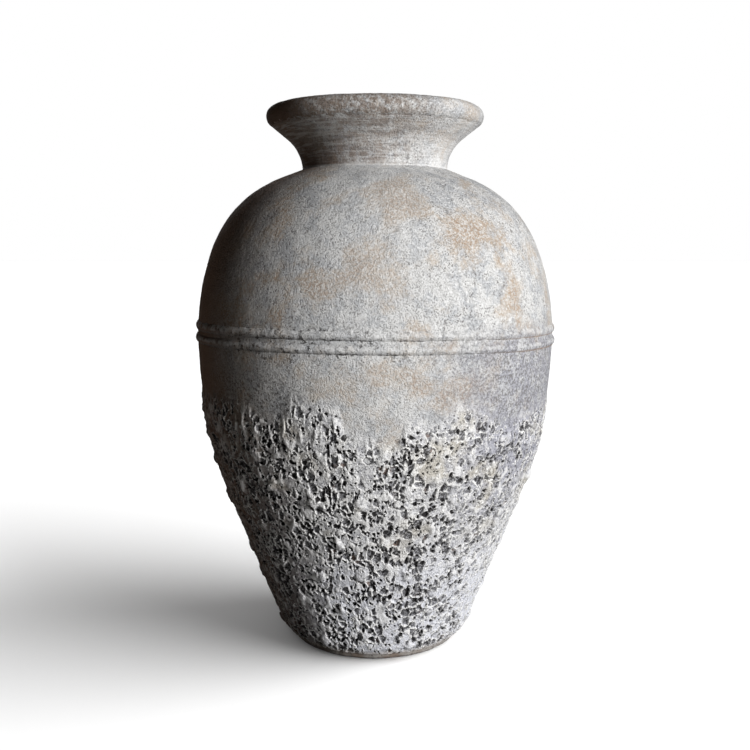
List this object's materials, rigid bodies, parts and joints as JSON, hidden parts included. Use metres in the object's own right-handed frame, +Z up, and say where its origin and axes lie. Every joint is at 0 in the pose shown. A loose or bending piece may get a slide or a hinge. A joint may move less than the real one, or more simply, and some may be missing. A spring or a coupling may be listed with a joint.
{
  "type": "pithos jar",
  "caption": "Tall clay storage jar with a tapering foot, swelling belly, flared neck and rolled lip, a belt of raised cords and a rough gritty coat below.",
  "frame": {"origin": "centre of the jar's flat underside, on the ground", "axes": "+Z up along the jar's axis, -Y towards the side that the picture shows, +X to the picture's right"},
  "size_m": [0.4038, 0.4038, 0.6002],
  "materials": {
    "fired_clay": "matte",
    "limewashed_clay": "matte",
    "gritty_slip": "matte"
  },
  "bodies": {
    "root": {"floor_disc": "fired_clay", "foot_drum": "fired_clay", "lower_drum": "fired_clay", "belly_drum": "limewashed_clay", "upper_drum": "limewashed_clay", "shoulder_dome": "limewashed_clay", "neck_collar": "limewashed_clay", "lip_roll": "limewashed_clay", "lower_belt_cord": "limewashed_clay", "upper_belt_cord": "limewashed_clay", "gritty_coat": "gritty_slip"}
  },
  "joints": []
}
